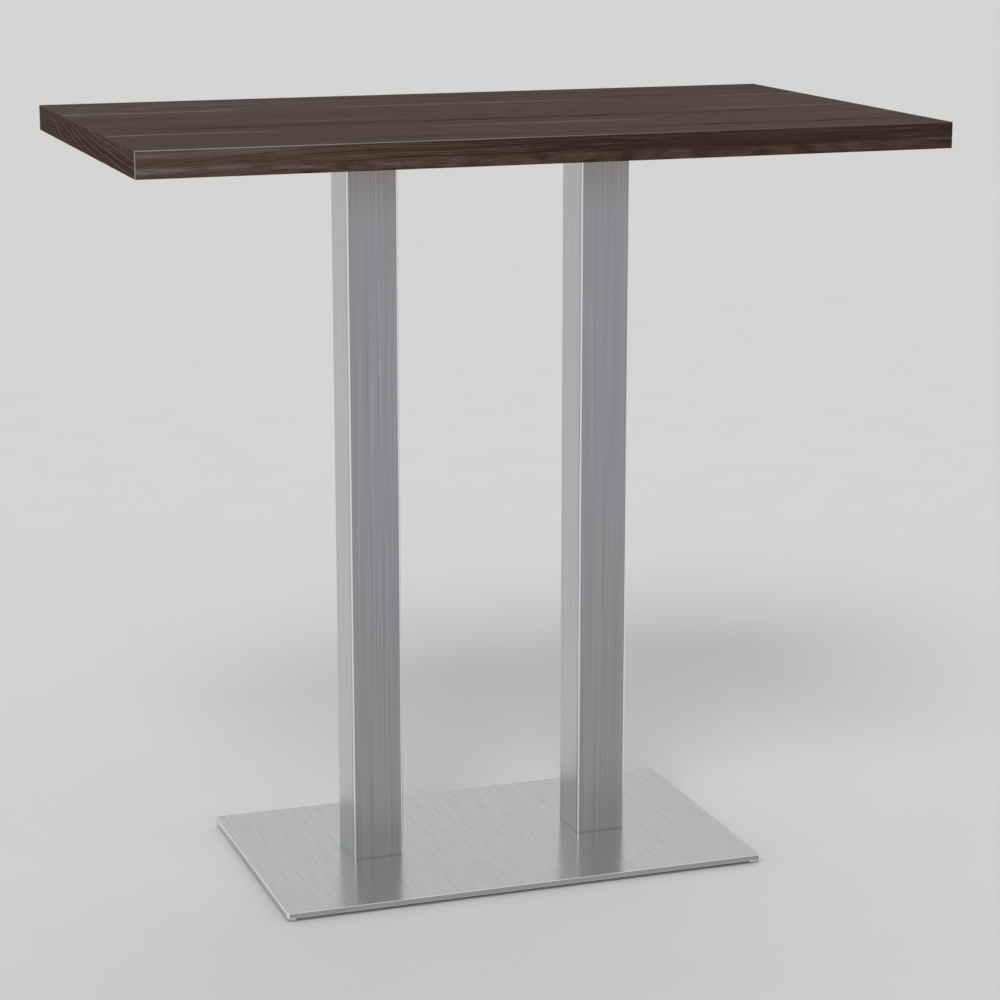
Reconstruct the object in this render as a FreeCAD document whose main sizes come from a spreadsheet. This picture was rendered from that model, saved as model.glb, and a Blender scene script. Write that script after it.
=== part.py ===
import FreeCAD, Part
import os
from math import cos, radians, sin

import Sketcher
from FreeCAD import Rotation, Vector

# A bar table: a banded board on two square columns, which stand on one flat plate with four levelling feet.
# X runs along the table, Y away from its front, Z up. The origin is on the floor, under the top's middle.
# Every size is in millimetres.

SHEET_NAME = "sizes"

SIZES = {
    # Top: a chipboard core between two laminates, with a band along each edge
    "top_length": 1200,
    "top_width": 700,
    "top_thickness": 38,
    "laminate_thickness": 0.8,
    "band_thickness": 2,
    "band_rounding": 1,
    # Mounting plates: one flat steel plate on the head of each column, screwed up into the core
    "mounting_plate_length": 480,
    "mounting_plate_width": 140,
    "mounting_plate_thickness": 6,
    "mounting_plate_corner": 8,
    # Wood screws, with their insets from the ends and the sides of a mounting plate
    "wood_screw_diameter": 5,
    "wood_screw_length": 30,
    "wood_screw_tip": 6,
    "wood_screw_tip_room": 1,
    "wood_screw_head_diameter": 9.5,
    "wood_screw_head_height": 2.8,
    "wood_screw_head_edge": 1.2,
    "wood_screw_recess_width": 1,
    "wood_screw_recess_length": 4.5,
    "wood_screw_recess_depth": 1.8,
    "wood_screw_end_inset": 25,
    "wood_screw_side_inset": 15,
    "wood_screw_hole_clearance": 0.25,
    # Columns: square tubes, with a threaded flange welded inside each end
    "column_side": 80,
    "column_wall": 2,
    "column_inner_corner": 1,
    "column_length": 1094,
    "column_spacing": 368,
    "head_flange_thickness": 8,
    "foot_flange_thickness": 10,
    # Countersunk bolts, four at each end of a column
    "bolt_diameter": 8,
    "bolt_head_diameter": 16,
    "bolt_head_rim": 0.3,
    "bolt_socket": 5,
    "bolt_socket_depth": 2.5,
    "bolt_end_chamfer": 0.8,
    "bolt_span": 50,
    "bolt_hole_clearance": 0.25,
    "head_bolt_length": 16,
    "foot_bolt_length": 20,
    # Base plate
    "base_length": 760,
    "base_width": 450,
    "base_thickness": 8,
    "base_corner": 5,
    "base_edge_break": 0.6,
    "base_skin": 1.5,
    # Levelling feet: a hexagon-headed screw that turns on a glide pad
    "foot_inset": 10.5,
    "foot_screw_diameter": 6,
    "foot_screw_hexagon": 10,
    "foot_screw_head_height": 4,
    "foot_screw_gap": 1,
    "foot_screw_tip_room": 1.5,
    "foot_screw_tip_chamfer": 0.5,
    "glide_diameter": 9.4,
    "glide_thickness": 1,
    "glide_edge_break": 0.2,
    "glide_peg_diameter": 3,
    "glide_peg_length": 2.5,
    "glide_peg_room": 0.1,
    # Room all round between a thread or a peg and its hole
    "running_clearance": 0.05,
    # How far a cutting outline runs past the surface that it cuts
    "overrun": 1,
}

HEXAGON_CORNERS = 6
FULL_TURN = 360
HALF_TURN = 180
COUNTERSINK_ANGLE = 90
# A fillet takes at most this share of the wall that it rounds
ROUNDING_SHARE = 0.5
# Two places nearer than this share of a shape's own size are one place
SAME_PLACE_SHARE = 1e-6

# Numbers that every sketch gives to its axes and to the points of a line or circle
X_AXIS_INDEX = -1
Y_AXIS_INDEX = -2
START_INDEX = 1
END_INDEX = 2
CENTRE_INDEX = 3
SKETCH_ORIGIN = (X_AXIS_INDEX, START_INDEX)

SIDES = {"left": -1, "right": 1}
ENDS = {"front": -1, "back": 1}
# Turns, in degrees about Z, that bring a band from the front of the top to each of its edges
BAND_TURNS = {"front": 0, "right": 90, "back": 180, "left": 270}

# Heights above the floor, worked out from the pieces that are stacked below
SCREW_UNDERSIDE = "sizes.glide_thickness"
BASE_UNDERSIDE = f"({SCREW_UNDERSIDE} + sizes.foot_screw_head_height + sizes.foot_screw_gap)"
BASE_TOP = f"({BASE_UNDERSIDE} + sizes.base_thickness)"
COLUMN_TOP = f"({BASE_TOP} + sizes.column_length)"
TOP_UNDERSIDE = f"({COLUMN_TOP} + sizes.mounting_plate_thickness)"
CORE_UNDERSIDE = f"({TOP_UNDERSIDE} + sizes.laminate_thickness)"
CORE_THICKNESS = "(sizes.top_thickness - 2 * sizes.laminate_thickness)"
CORE_TOP = f"({CORE_UNDERSIDE} + {CORE_THICKNESS})"

# The grids of the wood screws on a mounting plate, of the bolts on a column and of the feet, each as its
# span and count along X, then its span and count along Y
PAIR_COUNT = 2
SCREW_ROW_COUNT = 3
SCREW_SPAN_X = "(sizes.mounting_plate_width - 2 * sizes.wood_screw_side_inset)"
SCREW_SPAN_Y = "(sizes.mounting_plate_length - 2 * sizes.wood_screw_end_inset)"
SCREW_GRID = (SCREW_SPAN_X, PAIR_COUNT, SCREW_SPAN_Y, SCREW_ROW_COUNT)
BOLT_GRID = ("sizes.bolt_span", PAIR_COUNT, "sizes.bolt_span", PAIR_COUNT)
FOOT_SPAN_X = "(sizes.base_length - 2 * sizes.foot_inset)"
FOOT_SPAN_Y = "(sizes.base_width - 2 * sizes.foot_inset)"
FOOT_GRID = (FOOT_SPAN_X, PAIR_COUNT, FOOT_SPAN_Y, PAIR_COUNT)

# Sizes that two or more pieces share
CORE_LENGTH = "(sizes.top_length - 2 * sizes.band_thickness)"
CORE_WIDTH = "(sizes.top_width - 2 * sizes.band_thickness)"
COLUMN_INSIDE = "(sizes.column_side - 2 * sizes.column_wall)"
THREADED_HOLE = "(sizes.bolt_diameter + 2 * sizes.running_clearance)"
BOLT_HOLE = "(sizes.bolt_diameter + 2 * sizes.bolt_hole_clearance)"
SCREW_BORE = "(sizes.wood_screw_diameter + 2 * sizes.running_clearance)"
SCREW_HOLE = "(sizes.wood_screw_diameter + 2 * sizes.wood_screw_hole_clearance)"


def write_sheet(document):
    """Put each driving dimension in a cell of its own, under its alias."""
    sheet = document.addObject("Spreadsheet::Sheet", SHEET_NAME)
    for row, (alias, value) in enumerate(SIZES.items(), start=1):
        sheet.set(f"A{row}", alias)
        sheet.set(f"B{row}", str(value))
        sheet.setAlias(f"B{row}", alias)
    document.recompute()
    return sheet


def add_body(document, label, x="0", y="0", z="0", rotation=Rotation()):
    """Start a piece and say where it stands, each place as an expression."""
    body = document.addObject("PartDesign::Body", label)
    body.Label = label
    body.Placement.Rotation = rotation
    for axis, place in zip("xyz", (x, y, z)):
        body.setExpression(f"Placement.Base.{axis}", place)
    return body


def add_sketch(body, name, role, x="0", y="0", z="0"):
    """Attach a sketch to one of the body's own origin planes, with its offsets as expressions."""
    sketch = body.newObject("Sketcher::SketchObject", name)
    plane = origin_feature(body, role)
    sketch.AttachmentSupport = [(plane, "")]
    sketch.MapMode = "FlatFace"
    for axis, offset in zip("xyz", (x, y, z)):
        sketch.setExpression(f"AttachmentOffset.Base.{axis}", offset)
    return sketch


def origin_feature(body, role):
    return next(feature for feature in body.Origin.OriginFeatures if feature.Role == role)


def bind(sketch, constraint, expression):
    """Add a constraint whose value follows an expression."""
    index = sketch.addConstraint(constraint)
    sketch.setExpression(f"Constraints[{index}]", expression)


def draw_rectangle(sketch, length, width):
    """A rectangle about the sketch's origin, drawn as a unit square that its two sizes then stretch."""
    corners = [Vector(-1, -1, 0), Vector(1, -1, 0), Vector(1, 1, 0), Vector(-1, 1, 0)]
    first = draw_closed_lines(sketch, corners)
    for side in (0, 2):
        sketch.addConstraint(Sketcher.Constraint("Horizontal", first + side))
        sketch.addConstraint(Sketcher.Constraint("Vertical", first + side + 1))
    opposite = (first, START_INDEX, first + 2, START_INDEX)
    sketch.addConstraint(Sketcher.Constraint("Symmetric", *opposite, *SKETCH_ORIGIN))
    bind(sketch, Sketcher.Constraint("DistanceX", first, START_INDEX, first, END_INDEX, 1.0), length)
    bind(sketch, Sketcher.Constraint("DistanceY", first + 1, START_INDEX, first + 1, END_INDEX, 1.0), width)


def draw_closed_lines(sketch, corners):
    """Join the corners by straight lines, end to start, and give the number of the first line."""
    first = sketch.GeometryCount
    count = len(corners)
    for number, corner in enumerate(corners):
        sketch.addGeometry(Part.LineSegment(corner, corners[(number + 1) % count]), False)
    for number in range(count):
        joint = (first + number, END_INDEX, first + (number + 1) % count, START_INDEX)
        sketch.addConstraint(Sketcher.Constraint("Coincident", *joint))
    return first


def draw_circle(sketch, diameter):
    """A circle about the sketch's origin."""
    circle = add_unit_circle(sketch, construction=False)
    bind(sketch, Sketcher.Constraint("Diameter", circle, 1.0), diameter)


def add_unit_circle(sketch, construction):
    circle = sketch.addGeometry(Part.Circle(Vector(0, 0, 0), Vector(0, 0, 1), 1), construction)
    sketch.addConstraint(Sketcher.Constraint("Coincident", circle, CENTRE_INDEX, *SKETCH_ORIGIN))
    return circle


def draw_hexagon(sketch, across_flats):
    """A regular hexagon about the sketch's origin, with two corners on the X axis."""
    turns = [radians(FULL_TURN * corner / HEXAGON_CORNERS) for corner in range(HEXAGON_CORNERS)]
    first = draw_closed_lines(sketch, [Vector(cos(turn), sin(turn), 0) for turn in turns])
    circle = add_unit_circle(sketch, construction=True)
    sketch.addConstraint(Sketcher.Constraint("PointOnObject", first, START_INDEX, X_AXIS_INDEX))
    for line in range(first, first + HEXAGON_CORNERS):
        sketch.addConstraint(Sketcher.Constraint("PointOnObject", line, START_INDEX, circle))
        if line > first:
            sketch.addConstraint(Sketcher.Constraint("Equal", first, line))
    bind(sketch, Sketcher.Constraint("Diameter", circle, 1.0), f"2 * {hexagon_radius(across_flats)}")


def draw_outline(sketch, sheet, corners):
    """A closed outline of straight lines, each corner a pair of expressions. "0" puts it on an axis."""
    starts = [Vector(*(float(sheet.evalExpression(place)) for place in corner), 0) for corner in corners]
    first = draw_closed_lines(sketch, starts)
    for line, (start, (x, y)) in enumerate(zip(starts, corners), start=first):
        hold_point(sketch, (line, START_INDEX), "DistanceX", Y_AXIS_INDEX, start.x, x)
        hold_point(sketch, (line, START_INDEX), "DistanceY", X_AXIS_INDEX, start.y, y)


def hold_point(sketch, point, kind, axis, value, place):
    """Keep a point on an axis, or at its distance from the origin on the side where it starts."""
    if place == "0":
        sketch.addConstraint(Sketcher.Constraint("PointOnObject", *point, axis))
    elif value > 0:
        bind(sketch, Sketcher.Constraint(kind, *SKETCH_ORIGIN, *point, value), place)
    else:
        bind(sketch, Sketcher.Constraint(kind, *point, *SKETCH_ORIGIN, -value), f"-({place})")


def pad(body, name, sketch, length):
    feature = body.newObject("PartDesign::Pad", name)
    feature.Profile = sketch
    feature.setExpression("Length", length)
    body.Document.recompute()
    return feature


def revolve(body, name, corners, sheet, x="0", y="0"):
    """Turn an outline about the upright axis through a place. Each corner is (radius, height)."""
    sketch = add_sketch(body, f"{name}_outline", "XZ_Plane", x=x, z=f"-({y})")
    draw_outline(sketch, sheet, corners)
    feature = body.newObject("PartDesign::Revolution", name)
    feature.Profile = sketch
    feature.ReferenceAxis = (sketch, ["V_Axis"])
    feature.Angle = FULL_TURN
    body.Document.recompute()
    return feature


def round_edges(body, name, base, test, radius):
    """Fillet the edges of a feature that a test picks out."""
    feature = body.newObject("PartDesign::Fillet", name)
    feature.Base = (base, picked_edges(base.Shape, test))
    feature.setExpression("Radius", radius)
    body.Document.recompute()
    return feature


def bevel_edges(body, name, base, test, size):
    """Chamfer the edges of a feature that a test picks out."""
    feature = body.newObject("PartDesign::Chamfer", name)
    feature.Base = (base, picked_edges(base.Shape, test))
    feature.setExpression("Size", size)
    body.Document.recompute()
    return feature


def picked_edges(shape, test):
    """Names of the edges that pass. The test gets the edge's box, the shape's box and a tolerance."""
    whole = shape.BoundBox
    tolerance = whole.DiagonalLength * SAME_PLACE_SHARE
    return [
        f"Edge{number}"
        for number, edge in enumerate(shape.Edges, start=1)
        if test(edge.BoundBox, whole, tolerance)
    ]


def is_upright(edge, whole, tolerance):
    return edge.XLength < tolerance and edge.YLength < tolerance


def is_outer_upright(edge, whole, tolerance):
    return is_upright(edge, whole, tolerance) and abs(abs(edge.XMax) - whole.XMax) < tolerance


def is_inner_upright(edge, whole, tolerance):
    return is_upright(edge, whole, tolerance) and not is_outer_upright(edge, whole, tolerance)


def is_level(edge, whole, tolerance):
    return edge.ZLength < tolerance


def is_at_top(edge, whole, tolerance):
    return abs(edge.ZMin - whole.ZMax) < tolerance


def is_long_outer(edge, whole, tolerance):
    """The upper and lower edge of the face at the front."""
    return abs(edge.YMax - whole.YMin) < tolerance and edge.ZLength < tolerance


def is_outer_or_end(edge, whole, tolerance):
    """All four edges of the face at the front, and the upper and lower edge of each end."""
    on_front = abs(edge.YMax - whole.YMin) < tolerance
    across_end = edge.XLength < tolerance and edge.ZLength < tolerance
    return on_front or across_end


def drill(body, name, diameter, z="0", x="0", y="0", upward=False, depth=None, head=None):
    """A drilled hole: right through if it has no depth, countersunk if it has a head's diameter."""
    before = body.Shape.Volume
    sketch = add_sketch(body, f"{name}_place", "XY_Plane", x=x, y=y, z=z)
    draw_circle(sketch, diameter)
    hole = body.newObject("PartDesign::Hole", name)
    hole.Profile = sketch
    body.Document.recompute()
    hole.setExpression("Diameter", diameter)
    hole.Reversed = upward
    hole.DepthType = "Dimension" if depth else "ThroughAll"
    hole.DrillPoint = "Flat"
    if depth:
        hole.setExpression("Depth", depth)
    if head:
        hole.HoleCutType = "Countersink"
        hole.HoleCutCountersinkAngle = COUNTERSINK_ANGLE
        hole.setExpression("HoleCutDiameter", head)
    body.Document.recompute()
    require_cut(body, name, before)
    return hole


def cut_upward(body, name, sketch, depth):
    """A pocket that goes up from its sketch."""
    before = body.Shape.Volume
    feature = body.newObject("PartDesign::Pocket", name)
    feature.Profile = sketch
    feature.Reversed = True
    feature.setExpression("Length", depth)
    body.Document.recompute()
    require_cut(body, name, before)
    return feature


def require_cut(body, name, before):
    """Stop if a cut that should have taken material away took none."""
    if not body.Shape.Volume < before:
        raise RuntimeError(f"{body.Label}: {name} cuts nothing")


def repeat(body, name, originals, grid):
    """Repeat features over a grid whose first place is at the lowest X and Y."""
    span_x, count_x, span_y, count_y = grid
    pattern = body.newObject("PartDesign::LinearPattern", name)
    pattern.Originals = originals
    pattern.Direction = (origin_feature(body, "X_Axis"), [""])
    pattern.Occurrences = count_x
    pattern.setExpression("Length", span_x)
    pattern.Direction2 = (origin_feature(body, "Y_Axis"), [""])
    pattern.Occurrences2 = count_y
    pattern.setExpression("Length2", span_y)
    body.Tip = pattern
    body.Document.recompute()
    return pattern


def first_place(grid, centre_x="0"):
    """The lowest X and Y of a grid about a centre, as expressions."""
    span_x, _, span_y, _ = grid
    return {"x": f"{centre_x} - {span_x} / 2", "y": f"-{span_y} / 2"}


def drill_grid(body, name, diameter, grid, centre_x="0", **options):
    """A hole at each place of a grid."""
    hole = drill(body, f"{name}_first", diameter, **first_place(grid, centre_x), **options)
    repeat(body, name, [hole], grid)


def column_place(side):
    """X of a column's axis, as an expression."""
    return f"({SIDES[side]} * sizes.column_spacing / 2)"


def make_board(document, label, thickness, z, hole_depth=None):
    """A flat board of the size of the core, drilled for the wood screws if it has a hole depth."""
    body = add_body(document, label, z=z)
    sketch = add_sketch(body, "outline", "XY_Plane")
    draw_rectangle(sketch, CORE_LENGTH, CORE_WIDTH)
    pad(body, "board", sketch, thickness)
    if hole_depth:
        for side in SIDES:
            options = {"centre_x": column_place(side), "upward": True, "depth": hole_depth}
            drill_grid(body, f"screw_holes_{side}", SCREW_BORE, SCREW_GRID, **options)
    return body


def make_top_core(document):
    below_core = "(sizes.mounting_plate_thickness + sizes.laminate_thickness)"
    depth = f"sizes.wood_screw_length - {below_core} + sizes.wood_screw_tip_room"
    return make_board(document, "top_core", CORE_THICKNESS, CORE_UNDERSIDE, depth)


def make_edge_band(document, edge):
    """A band, drawn along the front and then turned. The long bands cover the ends of the short ones."""
    is_long = edge in ENDS
    length = "sizes.top_length" if is_long else CORE_WIDTH
    reach = "sizes.top_width" if is_long else "sizes.top_length"
    offset = f"({reach} / 2 - sizes.band_thickness / 2)"
    turn = Rotation(Vector(0, 0, 1), BAND_TURNS[edge])
    outward = turn.multVec(Vector(0, -1, 0))
    x, y = (f"{round(part)} * {offset}" for part in (outward.x, outward.y))
    body = add_body(document, f"edge_band_{edge}", x=x, y=y, z=TOP_UNDERSIDE, rotation=turn)
    sketch = add_sketch(body, "outline", "XY_Plane")
    draw_rectangle(sketch, length, "sizes.band_thickness")
    band = pad(body, "band", sketch, "sizes.top_thickness")
    radius = f"min(sizes.band_rounding; sizes.band_thickness * {ROUNDING_SHARE})"
    round_edges(body, "rounded_edges", band, is_outer_or_end if is_long else is_long_outer, radius)
    return body


def make_mounting_plate(document, side):
    body = add_body(document, f"mounting_plate_{side}", x=column_place(side), z=COLUMN_TOP)
    sketch = add_sketch(body, "outline", "XY_Plane")
    draw_rectangle(sketch, "sizes.mounting_plate_width", "sizes.mounting_plate_length")
    plate = pad(body, "plate", sketch, "sizes.mounting_plate_thickness")
    round_edges(body, "corners", plate, is_upright, "sizes.mounting_plate_corner")
    countersunk = {"z": "sizes.mounting_plate_thickness", "head": "sizes.bolt_head_diameter"}
    drill_grid(body, "bolt_holes", BOLT_HOLE, BOLT_GRID, **countersunk)
    drill_grid(body, "screw_holes", SCREW_HOLE, SCREW_GRID, upward=True)
    return body


def make_wood_screws(document, sheet, side):
    """Pan-headed screws. Their heads lie against the underside of the mounting plate."""
    body = add_body(document, f"wood_screws_{side}", x=column_place(side), z=COLUMN_TOP)
    place = first_place(SCREW_GRID)
    head_edge = "sizes.wood_screw_head_diameter / 2 - sizes.wood_screw_head_edge"
    head_rim = "sizes.wood_screw_head_edge - sizes.wood_screw_head_height"
    corners = [
        ("0", "-sizes.wood_screw_head_height"),
        (head_edge, "-sizes.wood_screw_head_height"),
        ("sizes.wood_screw_head_diameter / 2", head_rim),
        ("sizes.wood_screw_head_diameter / 2", "0"),
        ("sizes.wood_screw_diameter / 2", "0"),
        ("sizes.wood_screw_diameter / 2", "sizes.wood_screw_length - sizes.wood_screw_tip"),
        ("0", "sizes.wood_screw_length"),
    ]
    screw = revolve(body, "screw", corners, sheet, **place)
    recess = [
        cut_recess(body, name, size, place)
        for name, size in (
            ("recess_across", ("sizes.wood_screw_recess_length", "sizes.wood_screw_recess_width")),
            ("recess_along", ("sizes.wood_screw_recess_width", "sizes.wood_screw_recess_length")),
        )
    ]
    repeat(body, "screws", [screw, *recess], SCREW_GRID)
    return body


def cut_recess(body, name, size, place):
    """One slot of the cross in a wood screw's head, cut upwards from below it."""
    sketch = add_sketch(body, f"{name}_outline", "XY_Plane", z="-sizes.wood_screw_head_height", **place)
    draw_rectangle(sketch, *size)
    return cut_upward(body, name, sketch, "sizes.wood_screw_recess_depth")


def make_bolts(document, sheet, label, side, length, z, rotation=Rotation()):
    """Four countersunk bolts with their heads at the bottom. The cone is as high as it is wide."""
    body = add_body(document, label, x=column_place(side), z=z, rotation=rotation)
    place = first_place(BOLT_GRID)
    cone = "(sizes.bolt_head_diameter - sizes.bolt_diameter) / 2"
    corners = [
        ("0", "0"),
        ("sizes.bolt_head_diameter / 2 - sizes.bolt_head_rim", "0"),
        ("sizes.bolt_head_diameter / 2 - sizes.bolt_head_rim", "sizes.bolt_head_rim"),
        ("sizes.bolt_diameter / 2", cone),
        ("sizes.bolt_diameter / 2", f"{length} - sizes.bolt_end_chamfer"),
        ("sizes.bolt_diameter / 2 - sizes.bolt_end_chamfer", length),
        ("0", length),
    ]
    bolt = revolve(body, "bolt", corners, sheet, **place)
    sketch = add_sketch(body, "socket_outline", "XY_Plane", **place)
    draw_hexagon(sketch, "sizes.bolt_socket")
    socket = cut_upward(body, "socket", sketch, "sizes.bolt_socket_depth")
    repeat(body, "bolts", [bolt, socket], BOLT_GRID)
    return body


def hexagon_radius(across_flats):
    """Corner radius of a hexagon, from the distance across its flats."""
    return f"{across_flats} / 2 / cos({HALF_TURN / HEXAGON_CORNERS} deg)"


def make_head_bolts(document, sheet, side):
    """Bolts down through the mounting plate, so their heads are turned up."""
    upside_down = Rotation(Vector(1, 0, 0), HALF_TURN)
    label = f"head_bolts_{side}"
    return make_bolts(document, sheet, label, side, "sizes.head_bolt_length", TOP_UNDERSIDE, upside_down)


def make_foot_bolts(document, sheet, side):
    """Bolts up through the base plate."""
    return make_bolts(document, sheet, f"foot_bolts_{side}", side, "sizes.foot_bolt_length", BASE_UNDERSIDE)


def make_flange(document, label, side, thickness, z):
    """A threaded block that fills the tube at one of its ends."""
    body = add_body(document, label, x=column_place(side), z=z)
    sketch = add_sketch(body, "outline", "XY_Plane")
    draw_rectangle(sketch, COLUMN_INSIDE, COLUMN_INSIDE)
    block = pad(body, "block", sketch, thickness)
    round_edges(body, "corners", block, is_upright, "sizes.column_inner_corner")
    drill_grid(body, "bolt_holes", THREADED_HOLE, BOLT_GRID, upward=True)
    return body


def make_column_tube(document, side):
    body = add_body(document, f"column_tube_{side}", x=column_place(side), z=BASE_TOP)
    sketch = add_sketch(body, "section", "XY_Plane")
    draw_rectangle(sketch, "sizes.column_side", "sizes.column_side")
    draw_rectangle(sketch, COLUMN_INSIDE, COLUMN_INSIDE)
    tube = pad(body, "tube", sketch, "sizes.column_length")
    outer_corner = "sizes.column_inner_corner + sizes.column_wall"
    outside = round_edges(body, "outer_corners", tube, is_outer_upright, outer_corner)
    round_edges(body, "inner_corners", outside, is_inner_square, "sizes.column_inner_corner")
    return body


def is_inner_square(edge, whole, tolerance):
    """An upright edge inside the tube: as far out along X as along Y, but not on the outside."""
    on_diagonal = abs(abs(edge.XMax) - abs(edge.YMax)) < tolerance
    return on_diagonal and is_inner_upright(edge, whole, tolerance)


def make_base_plate(document):
    body = add_body(document, "base_plate", z=BASE_UNDERSIDE)
    sketch = add_sketch(body, "outline", "XY_Plane")
    draw_rectangle(sketch, "sizes.base_length", "sizes.base_width")
    plate = pad(body, "plate", sketch, "sizes.base_thickness")
    corners = round_edges(body, "corners", plate, is_upright, "sizes.base_corner")
    bevel_edges(body, "bevels", corners, is_level, "sizes.base_edge_break")
    for side in SIDES:
        countersunk = {"centre_x": column_place(side), "upward": True, "head": "sizes.bolt_head_diameter"}
        drill_grid(body, f"bolt_holes_{side}", BOLT_HOLE, BOLT_GRID, **countersunk)
    foot_hole = "sizes.foot_screw_diameter + 2 * sizes.running_clearance"
    depth = "sizes.base_thickness - sizes.base_skin"
    drill_grid(body, "foot_holes", foot_hole, FOOT_GRID, upward=True, depth=depth)
    return body


def foot_place(end, side):
    """X and Y of a foot's axis, as expressions."""
    span_x, _, span_y, _ = FOOT_GRID
    return {"x": f"{SIDES[side]} * {span_x} / 2", "y": f"{ENDS[end]} * {span_y} / 2"}


def make_leveller_screw(document, sheet, end, side):
    """A hexagon head, bevelled below, with a stud above it and a bore for the peg of the glide pad."""
    body = add_body(document, f"leveller_screw_{end}_{side}", z=SCREW_UNDERSIDE, **foot_place(end, side))
    sketch = add_sketch(body, "head_outline", "XY_Plane")
    draw_hexagon(sketch, "sizes.foot_screw_hexagon")
    pad(body, "head", sketch, "sizes.foot_screw_head_height")
    bevel_head(body, sheet)
    in_plate = "sizes.base_thickness - sizes.base_skin - sizes.foot_screw_tip_room"
    sketch = add_sketch(body, "stud_outline", "XY_Plane", z="sizes.foot_screw_head_height")
    draw_circle(sketch, "sizes.foot_screw_diameter")
    stud = pad(body, "stud", sketch, f"sizes.foot_screw_gap + {in_plate}")
    bevel_edges(body, "stud_tip", stud, is_at_top, "sizes.foot_screw_tip_chamfer")
    bore = "sizes.glide_peg_diameter + 2 * sizes.running_clearance"
    drill(body, "peg_bore", bore, upward=True, depth="sizes.glide_peg_length + sizes.glide_peg_room")
    return body


def bevel_head(body, sheet):
    """Cut the six lower corners back to a cone that meets the underside inside the flats."""
    before = body.Shape.Volume
    sketch = add_sketch(body, "head_bevel_outline", "XZ_Plane")
    flat = "sizes.foot_screw_hexagon / 2"
    outside = f"{hexagon_radius('sizes.foot_screw_hexagon')} + sizes.overrun"
    height = f"({outside} - {flat}) * tan({HALF_TURN / HEXAGON_CORNERS} deg)"
    draw_outline(sketch, sheet, [(flat, "0"), (outside, "0"), (outside, height)])
    bevel = body.newObject("PartDesign::Groove", "head_bevel")
    bevel.Profile = sketch
    bevel.ReferenceAxis = (sketch, ["V_Axis"])
    bevel.Angle = FULL_TURN
    body.Document.recompute()
    require_cut(body, "head_bevel", before)


def make_glide_pad(document, sheet, end, side):
    """A disc on the floor, with a peg that the screw turns on."""
    body = add_body(document, f"glide_pad_{end}_{side}", **foot_place(end, side))
    peg_top = "sizes.glide_thickness + sizes.glide_peg_length"
    corners = [
        ("0", "0"),
        ("sizes.glide_diameter / 2 - sizes.glide_edge_break", "0"),
        ("sizes.glide_diameter / 2", "sizes.glide_edge_break"),
        ("sizes.glide_diameter / 2", "sizes.glide_thickness"),
        ("sizes.glide_peg_diameter / 2", "sizes.glide_thickness"),
        ("sizes.glide_peg_diameter / 2", peg_top),
        ("0", peg_top),
    ]
    revolve(body, "glide", corners, sheet)
    return body


def make_top(document):
    yield make_top_core(document)
    yield make_board(document, "top_laminate", "sizes.laminate_thickness", CORE_TOP)
    thickness = "sizes.laminate_thickness"
    yield make_board(document, "backing_laminate", thickness, TOP_UNDERSIDE, hole_depth=thickness)
    for edge in BAND_TURNS:
        yield make_edge_band(document, edge)


def make_columns(document, sheet):
    for side in SIDES:
        yield make_mounting_plate(document, side)
        yield make_wood_screws(document, sheet, side)
        yield make_head_bolts(document, sheet, side)
        head_z = f"{COLUMN_TOP} - sizes.head_flange_thickness"
        yield make_flange(document, f"head_flange_{side}", side, "sizes.head_flange_thickness", head_z)
        yield make_column_tube(document, side)
        yield make_flange(document, f"foot_flange_{side}", side, "sizes.foot_flange_thickness", BASE_TOP)
        yield make_foot_bolts(document, sheet, side)


def make_base(document, sheet):
    yield make_base_plate(document)
    for end in ENDS:
        for side in SIDES:
            yield make_leveller_screw(document, sheet, end, side)
            yield make_glide_pad(document, sheet, end, side)


def check(document, pieces):
    """Stop if any object failed to build, or any piece has no sound solid."""
    failed = [item.Name for item in document.Objects if {"Invalid", "Error"} & set(item.State)]
    unsound = [piece.Label for piece in pieces if piece.Shape.isNull() or not piece.Shape.isValid()]
    if failed or unsound:
        raise RuntimeError(f"failed: {failed}, unsound: {unsound}")


def write_parts(pieces):
    os.makedirs("parts", exist_ok=True)
    for piece in pieces:
        piece.Shape.exportStep(f"parts/{piece.Label}.step")
        print(piece.Label, len(piece.Shape.Solids), "solids,", round(piece.Shape.Volume), "mm3")


def main():
    document = FreeCAD.newDocument("bar_table")
    sheet = write_sheet(document)
    pieces = [*make_top(document), *make_columns(document, sheet), *make_base(document, sheet)]
    document.recompute()
    check(document, pieces)
    write_parts(pieces)


main()
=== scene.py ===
import math

import bpy
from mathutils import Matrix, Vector


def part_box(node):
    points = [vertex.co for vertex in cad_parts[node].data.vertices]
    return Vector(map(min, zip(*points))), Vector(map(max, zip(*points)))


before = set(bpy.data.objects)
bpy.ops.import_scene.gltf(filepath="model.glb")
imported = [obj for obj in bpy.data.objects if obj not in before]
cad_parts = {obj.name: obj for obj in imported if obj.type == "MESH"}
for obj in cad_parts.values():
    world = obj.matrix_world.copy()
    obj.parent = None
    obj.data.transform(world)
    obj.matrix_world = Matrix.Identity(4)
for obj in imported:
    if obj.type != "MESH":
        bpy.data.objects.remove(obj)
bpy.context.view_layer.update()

# A bar table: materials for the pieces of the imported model, with a floor, light and a camera
# around it. Metres, with X along the table, Y away from its front and Z up. X and Y are zero at
# the middle of the table, and Z at the floor.

SIDES = ("left", "right")
FEET = [f"{end}_{side}" for end in ("front", "back") for side in SIDES]

# Lowest and highest corners of the pieces whose looks change from place to place
BAND_LOW, BAND_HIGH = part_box("edge_band_front")
COLUMN_LOW, COLUMN_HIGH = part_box("column_tube_right")
PLATE_LOW, PLATE_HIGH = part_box("base_plate")

LEFT_END = BAND_LOW.x
UPPER_FACE = BAND_HIGH.z


def near(face, *distances):
    """Places at distances from a face. A distance is below zero on the face's low side."""
    return [face + distance for distance in distances]


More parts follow.
